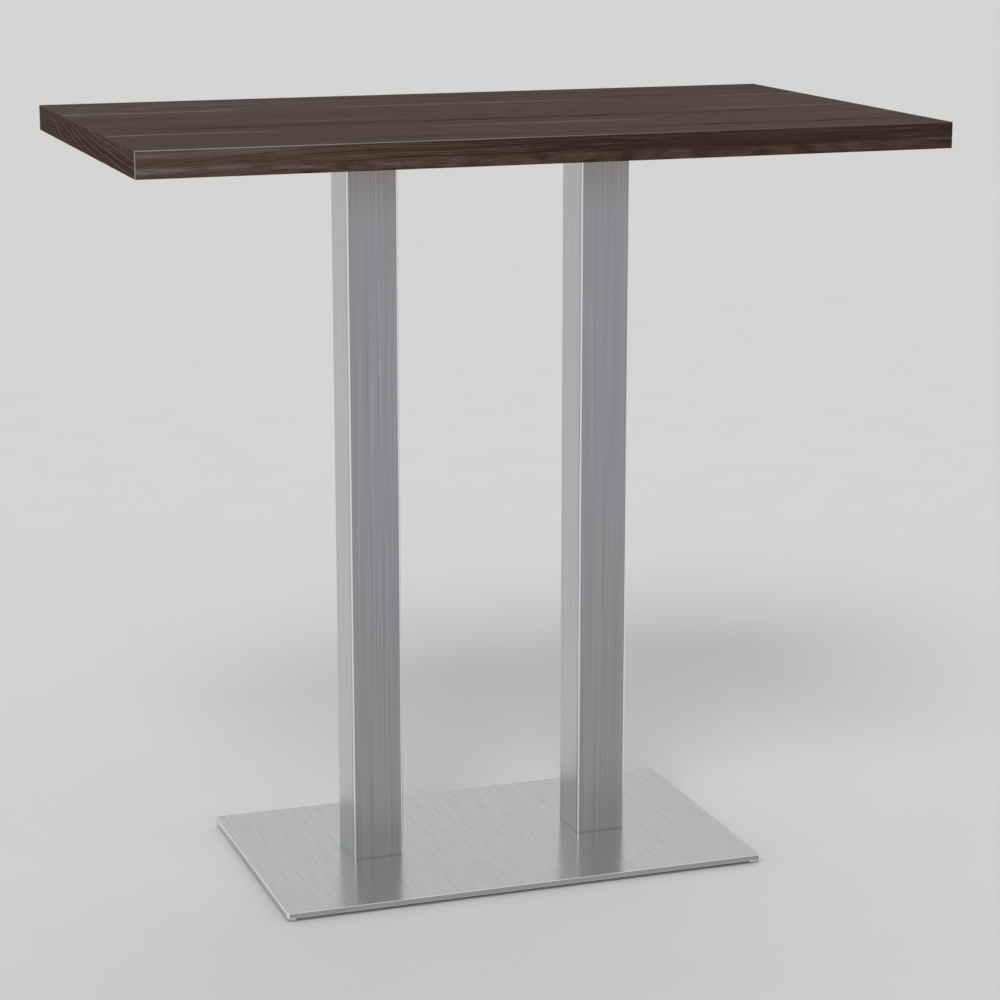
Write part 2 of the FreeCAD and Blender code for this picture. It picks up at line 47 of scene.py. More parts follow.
# Nearly all of a noise lies between these values
NOISE_RANGE = (0.3, 0.7)


class Shader:
    """A material, or the world, and its nodes.

    add gives the new node. The other methods give the socket that comes out of what they add.
    """

    def __init__(self, name, kind="materials"):
        self.owner = getattr(bpy.data, kind).new(name)
        self.owner.use_nodes = True
        self.tree = self.owner.node_tree
        self.tree.nodes.clear()

    def add(self, kind, sockets=(), **settings):
        """Add a node. A socket is linked or set, and stays as it is where its value is None."""
        node = self.tree.nodes.new(kind)
        for setting, value in settings.items():
            setattr(node, setting, value)
        for socket, value in dict(sockets).items():
            if isinstance(value, bpy.types.NodeSocket):
                self.tree.links.new(value, node.inputs[socket])
            elif value is not None:
                node.inputs[socket].default_value = value
        return node

    def place(self):
        """The place on the piece."""
        return self.add("ShaderNodeTexCoord").outputs["Object"]

    def axis(self, name):
        """One measure of the place on the piece: X, Y or Z."""
        return self.add("ShaderNodeSeparateXYZ", {"Vector": self.place()}).outputs[name]

    def off_middle(self, axis):
        """How far the place lies to either side of the middle of the table."""
        return self.calc("ABSOLUTE", self.axis(axis))

    def off(self, value, middle):
        """How far a value lies above or below another."""
        return self.calc("ABSOLUTE", self.calc("SUBTRACT", value, middle))

    def stretched(self, scale, shift=(0, 0, 0)):
        """The place on the piece, stretched and shifted for a texture."""
        sockets = {"Vector": self.place(), "Scale": scale, "Location": shift}
        return self.add("ShaderNodeMapping", sockets).outputs[0]

    def noise_at(self, place, detail, rough):
        """Noise at a place that is already stretched."""
        sockets = {"Vector": place, "Scale": 1.0, "Detail": detail, "Roughness": rough}
        return self.add("ShaderNodeTexNoise", sockets).outputs[0]

    def noise(self, scale, shift=(0, 0, 0), detail=2.0, rough=0.5):
        """Noise all through the piece, with a scale for each axis."""
        return self.noise_at(self.stretched(scale, shift), detail, rough)

    def flat_noise(self, first, second, scale, seed, detail=2.0, rough=0.5):
        """Noise over two measures, with a scale for each."""
        sockets = {
            "X": self.calc("MULTIPLY", first, scale[0]),
            "Y": self.calc("MULTIPLY", second, scale[1]),
            "Z": seed,
        }
        place = self.add("ShaderNodeCombineXYZ", sockets).outputs[0]
        return self.noise_at(place, detail, rough)

    def calc(self, operation, first, second=None, third=None):
        """Do sums with up to three values."""
        sockets = {0: first, 1: second, 2: third}
        return self.add("ShaderNodeMath", sockets, operation=operation).outputs[0]

    def span(self, value, start, end, low=0.0, high=1.0, soft=False):
        """Carry a value from one range to another, held at its ends."""
        sockets = {
            "Value": value,
            "From Min": start,
            "From Max": end,
            "To Min": low,
            "To Max": high,
        }
        kind = "SMOOTHSTEP" if soft else "LINEAR"
        return self.add("ShaderNodeMapRange", sockets, interpolation_type=kind).outputs[0]

    def mask(self, value, start, full, share=1.0):
        """Nothing up to a start, a share from full on, and soft between. Full may be the lower."""
        return self.span(value, start, full, 0.0, share, soft=True)

    def swing(self, value, noise, amount):
        """Add noise to a value, as much down as up."""
        return self.calc("MULTIPLY_ADD", self.calc("SUBTRACT", noise, 0.5), amount, value)

    def weighted_sum(self, first, *others):
        """Add values up, each given with its weight."""
        total = self.calc("MULTIPLY", *first)
        for pair in others:
            total = self.calc("ADD", total, self.calc("MULTIPLY", *pair))
        return total

    def mix(self, share, first, second, blend="MIX"):
        """Mix two colours."""
        sockets = {0: share, 6: first, 7: second}
        node = self.add("ShaderNodeMix", sockets, data_type="RGBA", blend_type=blend)
        return node.outputs[2]

    def between(self, share, first, second):
        """Mix two values."""
        sockets = {0: share, 2: first, 3: second}
        return self.add("ShaderNodeMix", sockets, data_type="FLOAT").outputs[0]

    def bump(self, height, distance, strength):
        """Relief from a height, whose 1 stands for a distance."""
        sockets = {"Height": height, "Distance": distance, "Strength": strength}
        return self.add("ShaderNodeBump", sockets).outputs[0]

    def in_gloss(self, rays):
        """Tell rays of gloss and transmission from the rest, as 1 or 0."""
        return self.calc("MAXIMUM", rays["Is Glossy Ray"], rays["Is Transmission Ray"])

    def finish(self, **sockets):
        """Close the tree with a Principled shader. Its sockets are named with _ for each space."""
        named = {name.replace("_", " "): value for name, value in sockets.items()}
        surface = self.add("ShaderNodeBsdfPrincipled", named).outputs[0]
        self.add("ShaderNodeOutputMaterial", {"Surface": surface})
        return self.owner


def grey(value, warm=0.0):
    """A neutral colour, or one that leans to brown, or to blue where warm is below zero."""
    return (value * (1 + warm), value, value * (1 - warm), 1)


def shade(colour, factor):
    """A colour made darker or lighter."""
    return [min(1, channel * factor) for channel in colour[:3]] + [1]


WOOD_DARK = (0.037, 0.0200, 0.0150, 1)
WOOD_MID = (0.087, 0.0556, 0.0402, 1)
WOOD_PALE = (0.168, 0.138, 0.134, 1)
WOOD_PORE = (0.020, 0.011, 0.008, 1)
# Colour of the painted highlight along the upper edges of the long bands
WOOD_EDGE_HIGHLIGHT = grey(0.25, warm=0.02)
WOOD_ROUGHNESS = (0.74, 0.86)
WOOD_SPECULAR = 0.03
WOOD_RELIEF = 0.00006
BAND_TOP_TONE = 0.85

# Where a band begins to look different and where it fully does: heights, and a place along X
UPPER_ROUNDING = near(UPPER_FACE, -0.0015, -0.0007)
UPPER_ROUNDING_BACK = near(UPPER_FACE, -0.0012, -0.0004)
BOARD_JOINT = near(UPPER_FACE, -0.0230, -0.0260)
LEFT_CORNER_ROUNDING = near(LEFT_END, 0.0014, 0.0007)

# Scales of the noise in every wood, along the grain and across it
WANDER_SCALE = (3.2, 16)
WAVE_SCALE = (2.2, 26)
RIPPLE_SCALE = (13, 110)
FIBRE_SCALE = (16, 430)
PORE_SCALE = (34, 560)
FLECK_SCALE = (10, 190)

# How far the grain wanders sideways, how far ripples shift a ring, and how uneven fibres are
WANDER_WIDTH = 0.014
RIPPLE_DEPTH = 6.0
FIBRE_CONTRAST = 0.70

# Where in their noise light specks and pores begin and are full, and how dark the pores are
FLECK_LIMITS = (0.58, 0.76)
PORE_LIMITS = (0.60, 0.72)
PORE_STRENGTH = 0.7

# How far the seed of each layer of noise lies from the seed of its wood
LAYERS = {
    "wander": 0.3,
    "tone": 0.6,
    "blotches": 1.1,
    "waves": 1.7,
    "fibre": 2.9,
    "ripples": 3.6,
    "pores": 4.1,
    "flecks": 5.3,
    "breaks": 7.7,
    "mottle": 8.4,
    "wisps": 9.2,
}

# Bars of figure in the woods. Each has its start and end along the grain, its middle and half
# width across it, and its strength. On the bands, the middle is given from the upper face
TOP_VEINS = (
    (-0.50, 0.46, -0.082, 0.026, 1.3),
    (-0.12, 0.20, -0.086, 0.018, 0.8),
    (0.27, 0.44, 0.205, 0.018, 1.3),
    (0.14, 0.56, -0.262, 0.024, 1.2),
    (-0.24, -0.06, -0.285, 0.014, 1.0),
)
TOP_CLOUDS = (
    (-0.72, -0.14, 0.235, 0.135, 0.55),
    (0.34, 0.72, 0.075, 0.100, 0.24),
)
TOP_STREAKS = (
    (-0.70, -0.36, 0.168, 0.013, 0.95),
    (-0.17, 0.20, 0.165, 0.012, 0.90),
    (0.44, 0.70, 0.163, 0.012, 0.60),
    (-0.70, -0.38, -0.154, 0.012, 0.95),
    (-0.10, 0.18, -0.158, 0.011, 0.85),
    (0.48, 0.70, -0.160, 0.010, 0.50),
    (-0.30, -0.12, -0.030, 0.010, 0.45),
    (0.32, 0.70, -0.034, 0.014, 0.55),
)
LONG_BAND_STREAKS = (
    (-0.62, -0.53, -0.0290, 0.0075, 1.00),
    (-0.51, -0.45, -0.0285, 0.0070, 0.70),
    (-0.41, -0.35, -0.0295, 0.0060, 0.60),
    (-0.30, -0.22, -0.0305, 0.0060, 0.35),
    (-0.62, -0.38, -0.0060, 0.0080, 0.60),
)
SHORT_BAND_SHADOWS = (
    (-0.37, 0.02, -0.0230, 0.0070, 0.75),
    (0.10, 0.36, -0.0260, 0.0150, 0.45),
)
SHORT_BAND_LIGHTS = (
    (-0.37, 0.00, -0.0080, 0.0090, 0.60),
)

# Climb of the figure on the long bands, a lift, and on the short ones, a bend, as Grain.level
# takes them
LONG_BAND_LIFT = (LEFT_END, 0.030, 0.16)
SHORT_BAND_BEND = (-0.10, 0.22)

# The pale line on the short bands: its slope, its height at the middle, which is below the band,
# and half its width
PALE_LINE_SLOPE = 0.33
PALE_LINE_HEIGHT = UPPER_FACE - 0.089
PALE_LINE_HALF = 0.006


class Grain:
    """Measures and patterns of a wood, whose grain runs along one axis, seen across another."""

    def __init__(self, shader, along, across, seed):
        self.shader = shader
        self.along = shader.axis(along)
        self.seed = seed
        level = shader.axis(across)
        wander_seed = seed + LAYERS["wander"]
        wander = shader.flat_noise(self.along, level, WANDER_SCALE, wander_seed)
        self.across = shader.swing(level, wander, WANDER_WIDTH)

    def noise(self, layer, scale, detail=3.0, rough=0.5):
        """Noise over the wood, with a scale along the grain and one across it."""
        seed = self.seed + LAYERS[layer]
        return self.shader.flat_noise(self.along, self.across, scale, seed, detail, rough)

    def level(self, slope=0.0, bend=None, lift=None):
        """Height above a line that climbs along the grain by its slope.

        bend, a start and an amount, makes the line climb ever faster past the start. lift, a
        start, a height and a length, makes it climb fast from the start and flatten off.
        """
        shader = self.shader
        level = shader.calc("MULTIPLY_ADD", self.along, -slope, self.across)
        if bend:
            start, amount = bend
            beyond = shader.calc("MAXIMUM", shader.calc("SUBTRACT", self.along, start), 0.0)
            square = shader.calc("MULTIPLY", beyond, beyond)
            level = shader.calc("MULTIPLY_ADD", square, -amount, level)
        if lift:
            start, height, length = lift
            run = shader.calc("MULTIPLY", shader.calc("SUBTRACT", self.along, start), -1 / length)
            climbed = shader.calc("SUBTRACT", 1.0, shader.calc("EXPONENT", run))
            level = shader.calc("SUBTRACT", level, shader.calc("MULTIPLY", climbed, height))
        return level

    def rings(self, level, spacing, waviness):
        """Growth rings cut lengthwise: wavering dark lines that follow a level."""
        shader = self.shader
        waves = shader.calc("MULTIPLY", self.noise("waves", WAVE_SCALE), waviness)
        ripples = self.noise("ripples", RIPPLE_SCALE, detail=2.0)
        phase = shader.calc("MULTIPLY_ADD", level, 2 * math.pi / spacing, waves)
        phase = shader.calc("MULTIPLY_ADD", ripples, RIPPLE_DEPTH, phase)
        return shader.calc("MULTIPLY_ADD", shader.calc("SINE", phase), 0.5, 0.5)

    def bars(self, rows, fade, face=0.0):
        """Soft bars along the grain, whose ends fade out, and whose middles lie off a face."""
        shader = self.shader
        total = 0.0
        for start, end, middle, half, strength in rows:
            enter = shader.mask(self.along, start - fade, start + fade)
            leave = shader.mask(self.along, end + fade, end - fade)
            off_middle = shader.off(self.across, face + middle)
            inside = shader.mask(off_middle, half, 0.0, strength)
            bar = shader.calc("MULTIPLY", shader.calc("MULTIPLY", enter, leave), inside)
            total = shader.calc("ADD", total, bar)
        return total


def finish_wood(grain, value, pale, flecks, tint=1.0, edge_highlight=None):
    """Colours and relief of a wood.

    value is its tone, 0 to 1, pale the strength of its light figure, flecks that of its light
    specks, and the last where a pale highlight is painted along its edges.
    """
    shader = grain.shader
    fibre = grain.noise("fibre", FIBRE_SCALE, rough=0.6)
    value = shader.span(shader.swing(value, fibre, FIBRE_CONTRAST), 0.0, 1.0)
    colour = shader.mix(value, shade(WOOD_DARK, tint), shade(WOOD_MID, tint))
    specks = shader.mask(grain.noise("flecks", FLECK_SCALE), *FLECK_LIMITS, share=flecks)
    light = shader.calc("ADD", pale, specks)
    light = shader.calc("MULTIPLY", light, shader.span(fibre, 0.25, 0.60, 0.35, 1.0))
    colour = shader.mix(shader.calc("MINIMUM", light, 1.0), colour, WOOD_PALE)
    pores = grain.noise("pores", PORE_SCALE, detail=2.0)
    pores = shader.mask(pores, *PORE_LIMITS, share=PORE_STRENGTH)
    colour = shader.mix(pores, colour, WOOD_PORE)
    # Painted highlight along the upper edges
    if edge_highlight:
        colour = shader.mix(edge_highlight, colour, WOOD_EDGE_HIGHLIGHT)
    return shader.finish(
        Base_Color=colour,
        Roughness=shader.span(fibre, 0.2, 0.8, *WOOD_ROUGHNESS),
        Specular_IOR_Level=WOOD_SPECULAR,
        Normal=shader.bump(shader.calc("SUBTRACT", fibre, pores), WOOD_RELIEF, 0.5),
    )


def top_wood():
    """The face of the top: pale streaks and clouds, wavering dark veins and faint rings."""
    grain = Grain(Shader("top_wood"), "X", "Y", seed=0.37)
    shader = grain.shader
    value = shader.swing(0.88, grain.noise("tone", (0.9, 14)), 0.9)
    value = shader.swing(value, grain.rings(grain.across, spacing=0.036, waviness=9.0), 0.22)
    value = shader.swing(value, grain.rings(grain.across, spacing=0.011, waviness=14.0), 0.16)
    veins = grain.bars(TOP_VEINS, fade=0.07)
    breaks = shader.span(grain.noise("breaks", (13, 130)), 0.40, 0.60, 0.15, 0.80)
    value = shader.calc("SUBTRACT", value, shader.calc("MULTIPLY", veins, breaks))
    clouds = grain.bars(TOP_CLOUDS, fade=0.16)
    mottle = shader.mask(grain.noise("mottle", (10, 95)), 0.42, 0.66)
    streaks = grain.bars(TOP_STREAKS, fade=0.06)
    wisps = shader.span(grain.noise("wisps", (9, 120)), 0.30, 0.55, 0.45, 1.1)
    wispy = shader.calc("MULTIPLY", streaks, wisps)
    pale = shader.calc("MULTIPLY_ADD", clouds, mottle, wispy)
    return finish_wood(grain, value, pale, flecks=0.38, tint=0.96)


def calm_top(shader, value):
    """Leave the figure of a band off its narrow upper face, which has one even tone."""
    return shader.between(shader.mask(shader.axis("Z"), *UPPER_ROUNDING), value, BAND_TOP_TONE)


def upper_board(grain):
    """Tone of the upper board in a long band: pale arches at the left, dark at the right."""
    shader = grain.shader
    drift = shader.span(grain.along, -0.50, 0.12, 0.92, 0.10, soft=True)
    value = shader.swing(drift, grain.noise("tone", (3.5, 90)), 1.1)
    level = grain.level(lift=LONG_BAND_LIFT)
    arches = shader.swing(0.0, grain.rings(level, spacing=0.0085, waviness=5.0), 0.50)
    arches = shader.swing(arches, grain.rings(level, spacing=0.0036, waviness=10.0), 0.60)
    fading = shader.span(grain.along, -0.20, 0.30, 1.0, 0.30)
    return shader.calc("MULTIPLY_ADD", arches, fading, value)


def lower_board(grain):
    """Tone of the lower board in a long band: blotched, and a little darker at the right."""
    shader = grain.shader
    value = shader.swing(0.56, grain.noise("blotches", (26, 50)), 3.2)
    rings = grain.rings(grain.level(slope=0.03), spacing=0.004, waviness=6.0)
    value = shader.swing(value, rings, 0.25)
    return shader.calc("MULTIPLY", value, shader.span(grain.along, 0.05, 0.50, 1.0, 0.72))


def long_band_wood(name, seed, edge_highlight):
    """A long edge of the top, which looks as if cut from two boards, one above the other."""
    grain = Grain(Shader(name), "X", "Z", seed)
    shader = grain.shader
    upper = upper_board(grain)
    lower = lower_board(grain)
    below = shader.calc(
        "MULTIPLY",
        shader.mask(shader.axis("Z"), *BOARD_JOINT),
        shader.mask(grain.along, -0.44, -0.32),
    )
    value = calm_top(shader, shader.between(below, upper, lower))
    streaks = grain.bars(LONG_BAND_STREAKS, fade=0.025, face=UPPER_FACE)
    wisps = shader.span(grain.noise("wisps", (16, 150)), 0.32, 0.55, 0.30, 1.0)
    pale = shader.calc("MULTIPLY", streaks, wisps)
    return finish_wood(grain, value, pale, flecks=0.35, edge_highlight=edge_highlight(shader))


def short_band_wood(name, seed):
    """A short edge of the top: dark arches that sweep down to the front, and one pale line."""
    grain = Grain(Shader(name), "Y", "Z", seed)
    shader = grain.shader
    value = shader.swing(0.42, grain.noise("tone", (4.5, 70)), 1.0)
    level = grain.level(slope=0.05, bend=SHORT_BAND_BEND)
    value = shader.swing(value, grain.rings(level, spacing=0.0095, waviness=5.0), 1.80)
    value = shader.swing(value, grain.rings(level, spacing=0.0048, waviness=6.0), 1.90)
    off_line = shader.off(grain.level(slope=PALE_LINE_SLOPE), PALE_LINE_HEIGHT)
    value = shader.calc("ADD", value, shader.mask(off_line, PALE_LINE_HALF, 0.0))
    shadows = grain.bars(SHORT_BAND_SHADOWS, fade=0.06, face=UPPER_FACE)
    lights = grain.bars(SHORT_BAND_LIGHTS, fade=0.08, face=UPPER_FACE)
    value = shader.calc("ADD", shader.calc("SUBTRACT", value, shadows), lights)
    return finish_wood(grain, calm_top(shader, value), 0.0, flecks=0.08, tint=1.08)


def painted_highlight_front(shader):
    """Painted highlight along the front band's upper edge and left corner, fading towards the
    right.
    """
    upper = shader.mask(shader.axis("Z"), *UPPER_ROUNDING)
    fade = shader.span(shader.axis("X"), LEFT_END, 0.42, 1.0, 0.12, soft=True)
    patchy = shader.span(shader.noise((14, 14, 3), detail=3.0), 0.2, 0.5, 0.4, 1.0)
    line = shader.calc("MULTIPLY", shader.calc("MULTIPLY", upper, fade), patchy)
    return shader.calc("MAXIMUM", line, shader.mask(shader.axis("X"), *LEFT_CORNER_ROUNDING))


def painted_highlight_back(shader):
    """A faint painted highlight along the back band's upper edge."""
    upper = shader.mask(shader.axis("Z"), *UPPER_ROUNDING_BACK)
    patchy = shader.span(shader.noise((10, 10, 3), detail=3.0), 0.3, 0.7, 0.05, 0.4)
    return shader.calc("MULTIPLY", upper, patchy)


# Tint of the painted reflection of the top's underside on the upper ends of the columns
HEAD_PAINTED_REFLECTION = (0.84, 0.73, 0.66, 1)
COLUMN_FOOT_GREY = grey(0.18, warm=-0.03)
# Colour of the painted shade on the plate's cut edge and underside
PLATE_EDGE_SHADE = grey(0.16, warm=-0.03)
# Colour of the painted highlight on the rounded corners of the columns
COLUMN_CORNER_HIGHLIGHT = grey(0.90)
# Colour of the painted highlight on the bevels and corners of the base plate
PLATE_RIM_HIGHLIGHT = grey(0.91)

# How far a column's axis lies from the middle, half its width, and mid height of the base plate
# and half its thickness
COLUMN_AXIS = (COLUMN_LOW.x + COLUMN_HIGH.x) / 2
COLUMN_HALF = (COLUMN_HIGH.x - COLUMN_LOW.x) / 2
PLATE_MIDDLE = (PLATE_LOW.z + PLATE_HIGH.z) / 2
PLATE_HALF = (PLATE_HIGH.z - PLATE_LOW.z) / 2

# Where the steel begins to look different and where it fully does, as heights
COLUMN_HEAD = near(COLUMN_HIGH.z, -0.108, -0.008)
COLUMN_FOOT_BAND = near(COLUMN_LOW.z, 0.0035, 0.0005)
PLATE_SIDE = near(PLATE_HIGH.z, -0.0003, -0.0008)
PLATE_UNDERSIDE = near(PLATE_LOW.z, 0.0004, 0.0001)

# The same, along X and Y from the axis of a column
COLUMN_ROUNDING_X = near(COLUMN_HALF, -0.0036, -0.0029)
COLUMN_ROUNDING_Y = near(COLUMN_HALF, -0.0013, -0.0006)

# The same, past the outline of the plate, and up or down from its mid height
PLATE_BEVEL = (-0.0015, -0.0009)
PLATE_CORNER = (-0.0042, -0.0030)
PLATE_BEVEL_RISE = near(PLATE_HALF, -0.0008, -0.0004)

# Lines in brushed steel: how many waves their noise has in a length, and its scale across them
FINE_LINES = (5, 1500)
MEDIUM_LINES = (6, 640)
LONG_LINES = (0.9, 540)
BRUSH_RELIEF = 0.00003


def column_corners(shader):
    """The upright corners of the columns, where the front and back faces round off, with a painted
    highlight.
    """
    off_axis = shader.off(shader.off_middle("X"), COLUMN_AXIS)
    return shader.calc(
        "MINIMUM",
        shader.mask(off_axis, *COLUMN_ROUNDING_X),
        shader.mask(shader.off_middle("Y"), *COLUMN_ROUNDING_Y),
    )


def column_foot(shader):
    """A thin band at the foot of a column, where it stands on the plate, made darker grey."""
    return shader.mask(shader.axis("Z"), *COLUMN_FOOT_BAND, share=0.42)


def column_head(shader):
    """The upper ends of the front and back faces, tinted brown: a painted reflection of the
    underside of the top.
    """
    return shader.calc(
        "MULTIPLY",
        shader.span(shader.axis("Z"), *COLUMN_HEAD),
        shader.mask(shader.off_middle("Y"), *COLUMN_ROUNDING_Y),
    )


def plate_rim(shader):
    """The bevels of the base plate and its rounded corners, with a painted highlight."""
    past_end = shader.calc("SUBTRACT", shader.off_middle("X"), PLATE_HIGH.x)
    past_side = shader.calc("SUBTRACT", shader.off_middle("Y"), PLATE_HIGH.y)
    outline = shader.mask(shader.calc("MAXIMUM", past_end, past_side), *PLATE_BEVEL)
    rise = shader.off(shader.axis("Z"), PLATE_MIDDLE)
    bevel = shader.calc("MULTIPLY", outline, shader.mask(rise, *PLATE_BEVEL_RISE))
    corner = shader.mask(shader.calc("MINIMUM", past_end, past_side), *PLATE_CORNER)
    return shader.calc("MAXIMUM", bevel, corner)


def plate_edge(shader):
    """The cut edge of the base plate with painted shade darker than its brushed face, and its
    underside, painted dark to deepen the shade in the gap below it.
    """
    side = shader.mask(shader.axis("Z"), *PLATE_SIDE, share=0.50)
    return shader.calc("MAXIMUM", side, shader.mask(shader.axis("Z"), *PLATE_UNDERSIDE))


def brush_noise(shader, along, length, lines, shift=(0, 0, 0), detail=2.0, rough=0.5):
    """Noise that is drawn out along one axis into lines."""
    waves, across = lines
    scale = [waves / length if name == along else across for name in "XYZ"]
    return shader.noise(scale, shift, detail, rough)


def across_brushing(shader, along):
    """The direction across the brushing, in which its gloss is drawn out."""
    if along == "Z":
        return shader.add("ShaderNodeTangent", direction_type="RADIAL", axis="Z").outputs[0]
    # Along X, but a little askew, so that it never points straight out of a face
    return shader.add("ShaderNodeCombineXYZ", {"X": 1.0, "Y": 0.02, "Z": 0.02}).outputs[0]


def brushed_steel(name, along, length, base, strength, roughness, marks):
    """Steel brushed along one axis, with lines of uneven tone and gloss.

    length is that of the longest lines, strength the unevenness of their tone around the base,
    and each of the marks a place, its colour and how this blends with the steel.
    """
    shader = Shader(name)
    fine = brush_noise(shader, along, length, FINE_LINES, rough=0.6)
    medium = brush_noise(shader, along, length, MEDIUM_LINES, (3.1, 1.7, 0.4), detail=1.0)
    long = brush_noise(shader, along, length, LONG_LINES, (0.7, 5.2, 2.2))
    line = shader.weighted_sum((fine, 0.3), (medium, 0.45), (long, 0.25))
    cloud = shader.noise((7, 7, 7), detail=3.0)
    value = shader.span(line, *NOISE_RANGE, 1 - strength, 1 + strength)
    value = shader.calc("MULTIPLY", value, shader.span(cloud, *NOISE_RANGE, 0.985, 1.015))
    channels = {"Red": value, "Green": value, "Blue": value}
    light = shader.add("ShaderNodeCombineColor", channels).outputs[0]
    cool, neutral = grey(base, warm=-0.032), grey(base, warm=-0.004)
    tone = shader.mix(shader.span(medium, 0.35, 0.65), cool, neutral)
    colour = shader.mix(1.0, tone, light, blend="MULTIPLY")
    for place, mark, blend in marks:
        colour = shader.mix(place(shader), colour, mark, blend)
    gloss = shader.swing(line, cloud, 0.4)
    return shader.finish(
        Base_Color=colour,
        Metallic=1.0,
        Roughness=shader.span(gloss, *NOISE_RANGE, roughness * 0.85, roughness * 1.15),
        Anisotropic=0.5,
        Tangent=across_brushing(shader, along),
        Normal=shader.bump(line, BRUSH_RELIEF, 0.35),
    )


def fine_metal(name, colour, roughness, grain, depth):
    """Plated or mill-finish metal with a fine even grain and a little uneven gloss."""
    shader = Shader(name)
    speck = shader.noise((grain, grain, grain), detail=3.0, rough=0.6)
    cloud = shader.noise((90, 90, 90), shift=(3, 1, 2))
    tone = shader.mix(shader.span(cloud, *NOISE_RANGE), shade(colour, 0.88), colour)
    tone = shader.mix(shader.span(speck, 0.55, 0.75, 0.0, 0.35), tone, shade(colour, 0.72))
    return shader.finish(
        Base_Color=tone,
        Metallic=1.0,
        Roughness=shader.span(speck, *NOISE_RANGE, roughness * 0.8, roughness * 1.3),
        Normal=shader.bump(speck, depth, 0.4),
    )


def matt_coat(name, colour, roughness, grain, depth):
    """A matt coat or moulding with a fine pebbled surface."""
    shader = Shader(name)
    pebble = shader.noise((grain, grain, grain), rough=0.55)
    cloud = shader.noise((11, 11, 11), shift=(5, 2, 1), detail=4.0, rough=0.6)
    darker, lighter = shade(colour, 0.82), shade(colour, 1.15)
    tone = shader.mix(shader.span(cloud, *NOISE_RANGE), darker, lighter)
    tone = shader.mix(shader.span(pebble, 0.5, 0.8, 0.0, 0.25), tone, shade(colour, 0.6))
    return shader.finish(
        Base_Color=tone,
        Roughness=shader.span(pebble, *NOISE_RANGE, roughness * 0.9, roughness * 1.1),
        Normal=shader.bump(pebble, depth, 0.5),
    )


CHIP_DARK = (0.24, 0.145, 0.07, 1)
CHIP_PALE = (0.50, 0.36, 0.20, 1)
CHIP_DUST = (0.14, 0.08, 0.04, 1)


def chipboard():
    """Raw chipboard: chips of mixed tone pressed flat."""
    shader = Shader("chipboard")
    cells = {"Vector": shader.stretched((260, 260, 900)), "Scale": 1.0}
    chips = shader.add("ShaderNodeTexVoronoi", cells).outputs
    chip = shader.add("ShaderNodeSeparateColor", {"Color": chips["Color"]}).outputs["Red"]
    fine = shader.noise((900, 900, 1800))
    colour = shader.mix(chip, CHIP_DARK, CHIP_PALE)
    colour = shader.mix(shader.span(fine, 0.5, 0.8, 0.0, 0.5), colour, CHIP_DUST)
    height = shader.calc("SUBTRACT", fine, chips["Distance"])
    return shader.finish(
        Base_Color=colour,
        Roughness=0.85,
        Normal=shader.bump(height, 0.0002, 0.6),
    )


BACKING_BROWN = (0.048, 0.033, 0.026, 1)
COAT_BLACK = (0.020, 0.020, 0.021, 1)
ZINC = (0.56, 0.57, 0.58, 1)
MILL_STEEL = (0.34, 0.335, 0.33, 1)
BRIGHT_STEEL = (0.66, 0.66, 0.655, 1)
GLIDE_BLACK = (0.020, 0.020, 0.020, 1)


def dress(node, material):
    """Put one material in all the slots of a piece."""
    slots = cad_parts[node].data.materials
    slots.clear()
    slots.append(material)


def dress_top():
    dress("top_laminate", top_wood())
    dress("edge_band_front", long_band_wood("front_band_wood", seed=0.83, edge_highlight=painted_highlight_front))
    dress("edge_band_back", long_band_wood("back_band_wood", seed=5.61, edge_highlight=painted_highlight_back))
    dress("edge_band_left", short_band_wood("left_band_wood", seed=2.27))
    dress("edge_band_right", short_band_wood("right_band_wood", seed=7.49))
    dress("top_core", chipboard())
    backing = matt_coat("backing", BACKING_BROWN, roughness=0.6, grain=700, depth=0.00003)
    dress("backing_laminate", backing)


def dress_columns_and_plate():
    column = brushed_steel(
        "column_steel",
        along="Z",
        length=2.2,
        base=0.369,
        strength=0.26,
        roughness=0.30,
        marks=(
            # painted reflection of the top's underside
            (column_head, HEAD_PAINTED_REFLECTION, "MULTIPLY"),
            # darker band at the foot of each column
            (column_foot, COLUMN_FOOT_GREY, "MIX"),
            # painted highlight along the column corners
            (column_corners, COLUMN_CORNER_HIGHLIGHT, "MIX"),
        ),
    )
    plate = brushed_steel(
        "plate_steel",
        along="Y",
        length=0.45,
        base=0.630,
        strength=0.13,
        roughness=0.17,
        marks=(
            # painted shade on the plate's edge and underside
            (plate_edge, PLATE_EDGE_SHADE, "MIX"),
            # painted highlight along the plate's bevels and corners
            (plate_rim, PLATE_RIM_HIGHLIGHT, "MIX"),
        ),
    )
    for side in SIDES:
        dress(f"column_tube_{side}", column)
    dress("base_plate", plate)


def dress_fittings():
    coat = matt_coat("powder_coat", COAT_BLACK, roughness=0.55, grain=1100, depth=0.00008)
    zinc = fine_metal("zinc_plate", ZINC, roughness=0.30, grain=900, depth=0.00002)
    mill = fine_metal("mill_finish", MILL_STEEL, roughness=0.45, grain=400, depth=0.00004)
    for side in SIDES:
        dress(f"mounting_plate_{side}", coat)
        for piece in ("wood_screws", "head_bolts", "foot_bolts"):
            dress(f"{piece}_{side}", zinc)
        for piece in ("head_flange", "foot_flange"):
            dress(f"{piece}_{side}", mill)


def dress_feet():
    bright = fine_metal(
        "bright_screw_steel", BRIGHT_STEEL, roughness=0.20, grain=1400, depth=0.00001
    )
    glide = matt_coat("glide_plastic", GLIDE_BLACK, roughness=0.55, grain=1600, depth=0.00002)
    for foot in FEET:
        dress(f"leveller_screw_{foot}", bright)
        dress(f"glide_pad_{foot}", glide)


FLOOR_HALF = 60.0
FLOOR_COLOUR = (0.72, 0.717, 0.705, 1)

